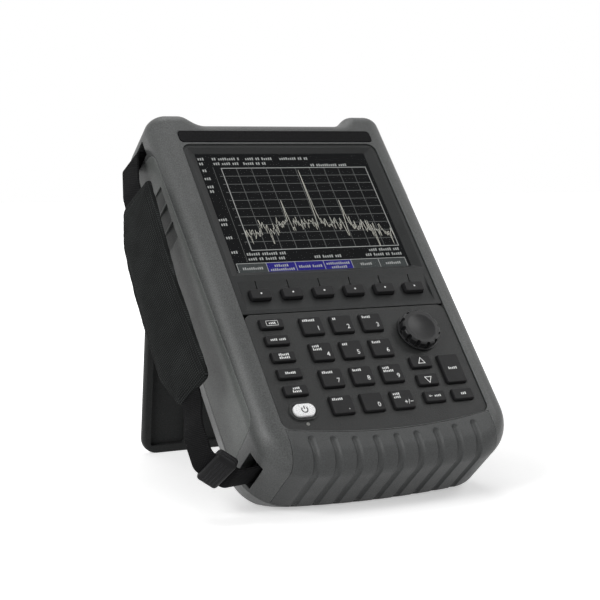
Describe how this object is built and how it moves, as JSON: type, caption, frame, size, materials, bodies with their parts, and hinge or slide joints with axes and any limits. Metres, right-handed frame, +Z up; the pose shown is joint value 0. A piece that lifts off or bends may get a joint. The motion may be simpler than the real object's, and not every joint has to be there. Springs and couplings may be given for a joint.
{
  "type": "handheld microwave analyzer",
  "caption": "Handheld radio analyzer in a grey rail case with a large display, soft keys, numeric keypad, knob, side hand strap and a fold-out tilt stand.",
  "frame": {"origin": "middle of the flat foot on the lower rear edge of the case", "axes": "+Z up, -Y towards the viewer of the display, +X to the right of the display"},
  "size_m": [0.2205, 0.2308, 0.2473],
  "materials": {
    "case_grey": "soft-touch matt",
    "cover_grey": "satin",
    "door_grey": "satin",
    "bumper_grey": "matt",
    "bezel_charcoal": "satin",
    "panel_grey": "fine grain",
    "strip_black": "gloss",
    "display_glass": "gloss",
    "display_black": "lit",
    "key_black": "matt",
    "power_white": "gloss",
    "knob_black": "satin",
    "light_lens": "clear",
    "stand_grey": "matt",
    "strap_fabric": "woven",
    "webbing_fabric": "woven",
    "buckle_black": "satin",
    "seal_black": "matt",
    "mat_grey": "matt",
    "board_green": "lacquered",
    "encoder_metal": "plain",
    "socket_black": "matt",
    "battery_black": "matt",
    "chassis_metal": "plain",
    "module_metal": "plain",
    "port_metal": "turned",
    "pin_steel": "plain",
    "screw_black": "blackened"
  },
  "bodies": {
    "case": {"front_case": "case_grey", "rear_case": "case_grey", "case_gasket": "seal_black", "screen_bezel": "bezel_charcoal", "display_window": "display_glass", "display_panel": "display_black", "name_strip": "strip_black", "keypad_panel": "panel_grey", "key_mat": "mat_grey", "key_board": "board_green", "knob_encoder": "encoder_metal", "status_light": "light_lens", "bottom_bumper": "bumper_grey", "side_cover_left": "cover_grey", "side_cover_right": "cover_grey", "port_connectors": "socket_black", "battery_pack": "battery_black", "chassis_plate": "chassis_metal", "main_board": "board_green", "rf_module": "module_metal", "top_connectors": "port_metal", "stand_pins": "pin_steel", "strap_pad": "strap_fabric", "strap_webbing": "webbing_fabric", "strap_buckle": "buckle_black", "strap_bars": "pin_steel", "case_screws": "screw_black"},
    "tilt_stand": {"tilt_stand": "stand_grey"},
    "knob": {"knob": "knob_black"},
    "port_door": {"port_door": "door_grey"},
    "battery_door": {"battery_door": "door_grey"},
    "soft_key_1": {"soft_key_1": "key_black"},
    "soft_key_2": {"soft_key_2": "key_black"},
    "soft_key_3": {"soft_key_3": "key_black"},
    "soft_key_4": {"soft_key_4": "key_black"},
    "soft_key_5": {"soft_key_5": "key_black"},
    "soft_key_6": {"soft_key_6": "key_black"},
    "menu_key_1": {"menu_key_1": "key_black"},
    "menu_key_2": {"menu_key_2": "key_black"},
    "menu_key_3": {"menu_key_3": "key_black"},
    "menu_key_4": {"menu_key_4": "key_black"},
    "menu_key_5": {"menu_key_5": "key_black"},
    "number_key_1": {"number_key_1": "key_black"},
    "number_key_2": {"number_key_2": "key_black"},
    "number_key_3": {"number_key_3": "key_black"},
    "number_key_4": {"number_key_4": "key_black"},
    "number_key_5": {"number_key_5": "key_black"},
    "number_key_6": {"number_key_6": "key_black"},
    "number_key_7": {"number_key_7": "key_black"},
    "number_key_8": {"number_key_8": "key_black"},
    "number_key_9": {"number_key_9": "key_black"},
    "number_key_0": {"number_key_0": "key_black"},
    "point_key": {"point_key": "key_black"},
    "sign_key": {"sign_key": "key_black"},
    "up_key": {"up_key": "key_black"},
    "down_key": {"down_key": "key_black"},
    "enter_key": {"enter_key": "key_black"},
    "back_key": {"back_key": "key_black"},
    "cancel_key": {"cancel_key": "key_black"},
    "power_key": {"power_key": "power_white"}
  },
  "joints": [
    {"name": "stand_fold", "type": "hinge", "parent": "case", "child": "tilt_stand", "pos_m": [0, 0.1665, 0.17408], "axis": [-1, 0, 0], "range_deg": [0, 47]},
    {"name": "knob_turn", "type": "hinge", "parent": "case", "child": "knob", "pos_m": [0.0475, 0.01184, 0.10543], "axis": [0, -0.7431, 0.6691], "continuous": true},
    {"name": "port_door_swing", "type": "hinge", "parent": "case", "child": "port_door", "pos_m": [0.094, 0.07691, 0.10941], "axis": [0, 0.6691, 0.7431], "range_deg": [0, 110]},
    {"name": "battery_door_pull", "type": "slide", "parent": "case", "child": "battery_door", "axis": [1, 0, 0], "range_m": [0, 0.025]},
    {"name": "soft_key_1_press", "type": "slide", "parent": "case", "child": "soft_key_1", "axis": [0, 0.7431, -0.6691], "range_m": [0, 0.001], "stiffness_N_per_m": 800},
    {"name": "soft_key_2_press", "type": "slide", "parent": "case", "child": "soft_key_2", "axis": [0, 0.7431, -0.6691], "range_m": [0, 0.001], "stiffness_N_per_m": 800},
    {"name": "soft_key_3_press", "type": "slide", "parent": "case", "child": "soft_key_3", "axis": [0, 0.7431, -0.6691], "range_m": [0, 0.001], "stiffness_N_per_m": 800},
    {"name": "soft_key_4_press", "type": "slide", "parent": "case", "child": "soft_key_4", "axis": [0, 0.7431, -0.6691], "range_m": [0, 0.001], "stiffness_N_per_m": 800},
    {"name": "soft_key_5_press", "type": "slide", "parent": "case", "child": "soft_key_5", "axis": [0, 0.7431, -0.6691], "range_m": [0, 0.001], "stiffness_N_per_m": 800},
    {"name": "soft_key_6_press", "type": "slide", "parent": "case", "child": "soft_key_6", "axis": [0, 0.7431, -0.6691], "range_m": [0, 0.001], "stiffness_N_per_m": 800},
    {"name": "menu_key_1_press", "type": "slide", "parent": "case", "child": "menu_key_1", "axis": [0, 0.7431, -0.6691], "range_m": [0, 0.001], "stiffness_N_per_m": 800},
    {"name": "menu_key_2_press", "type": "slide", "parent": "case", "child": "menu_key_2", "axis": [0, 0.7431, -0.6691], "range_m": [0, 0.001], "stiffness_N_per_m": 800},
    {"name": "menu_key_3_press", "type": "slide", "parent": "case", "child": "menu_key_3", "axis": [0, 0.7431, -0.6691], "range_m": [0, 0.001], "stiffness_N_per_m": 800},
    {"name": "menu_key_4_press", "type": "slide", "parent": "case", "child": "menu_key_4", "axis": [0, 0.7431, -0.6691], "range_m": [0, 0.001], "stiffness_N_per_m": 800},
    {"name": "menu_key_5_press", "type": "slide", "parent": "case", "child": "menu_key_5", "axis": [0, 0.7431, -0.6691], "range_m": [0, 0.001], "stiffness_N_per_m": 800},
    {"name": "number_key_1_press", "type": "slide", "parent": "case", "child": "number_key_1", "axis": [0, 0.7431, -0.6691], "range_m": [0, 0.001], "stiffness_N_per_m": 800},
    {"name": "number_key_2_press", "type": "slide", "parent": "case", "child": "number_key_2", "axis": [0, 0.7431, -0.6691], "range_m": [0, 0.001], "stiffness_N_per_m": 800},
    {"name": "number_key_3_press", "type": "slide", "parent": "case", "child": "number_key_3", "axis": [0, 0.7431, -0.6691], "range_m": [0, 0.001], "stiffness_N_per_m": 800},
    {"name": "number_key_4_press", "type": "slide", "parent": "case", "child": "number_key_4", "axis": [0, 0.7431, -0.6691], "range_m": [0, 0.001], "stiffness_N_per_m": 800},
    {"name": "number_key_5_press", "type": "slide", "parent": "case", "child": "number_key_5", "axis": [0, 0.7431, -0.6691], "range_m": [0, 0.001], "stiffness_N_per_m": 800},
    {"name": "number_key_6_press", "type": "slide", "parent": "case", "child": "number_key_6", "axis": [0, 0.7431, -0.6691], "range_m": [0, 0.001], "stiffness_N_per_m": 800},
    {"name": "number_key_7_press", "type": "slide", "parent": "case", "child": "number_key_7", "axis": [0, 0.7431, -0.6691], "range_m": [0, 0.001], "stiffness_N_per_m": 800},
    {"name": "number_key_8_press", "type": "slide", "parent": "case", "child": "number_key_8", "axis": [0, 0.7431, -0.6691], "range_m": [0, 0.001], "stiffness_N_per_m": 800},
    {"name": "number_key_9_press", "type": "slide", "parent": "case", "child": "number_key_9", "axis": [0, 0.7431, -0.6691], "range_m": [0, 0.001], "stiffness_N_per_m": 800},
    {"name": "number_key_0_press", "type": "slide", "parent": "case", "child": "number_key_0", "axis": [0, 0.7431, -0.6691], "range_m": [0, 0.001], "stiffness_N_per_m": 800},
    {"name": "point_key_press", "type": "slide", "parent": "case", "child": "point_key", "axis": [0, 0.7431, -0.6691], "range_m": [0, 0.001], "stiffness_N_per_m": 800},
    {"name": "sign_key_press", "type": "slide", "parent": "case", "child": "sign_key", "axis": [0, 0.7431, -0.6691], "range_m": [0, 0.001], "stiffness_N_per_m": 800},
    {"name": "up_key_press", "type": "slide", "parent": "case", "child": "up_key", "axis": [0, 0.7431, -0.6691], "range_m": [0, 0.001], "stiffness_N_per_m": 800},
    {"name": "down_key_press", "type": "slide", "parent": "case", "child": "down_key", "axis": [0, 0.7431, -0.6691], "range_m": [0, 0.001], "stiffness_N_per_m": 800},
    {"name": "enter_key_press", "type": "slide", "parent": "case", "child": "enter_key", "axis": [0, 0.7431, -0.6691], "range_m": [0, 0.001], "stiffness_N_per_m": 800},
    {"name": "back_key_press", "type": "slide", "parent": "case", "child": "back_key", "axis": [0, 0.7431, -0.6691], "range_m": [0, 0.001], "stiffness_N_per_m": 800},
    {"name": "cancel_key_press", "type": "slide", "parent": "case", "child": "cancel_key", "axis": [0, 0.7431, -0.6691], "range_m": [0, 0.001], "stiffness_N_per_m": 800},
    {"name": "power_key_press", "type": "slide", "parent": "case", "child": "power_key", "axis": [0, 0.7431, -0.6691], "range_m": [0, 0.001], "stiffness_N_per_m": 800}
  ]
}
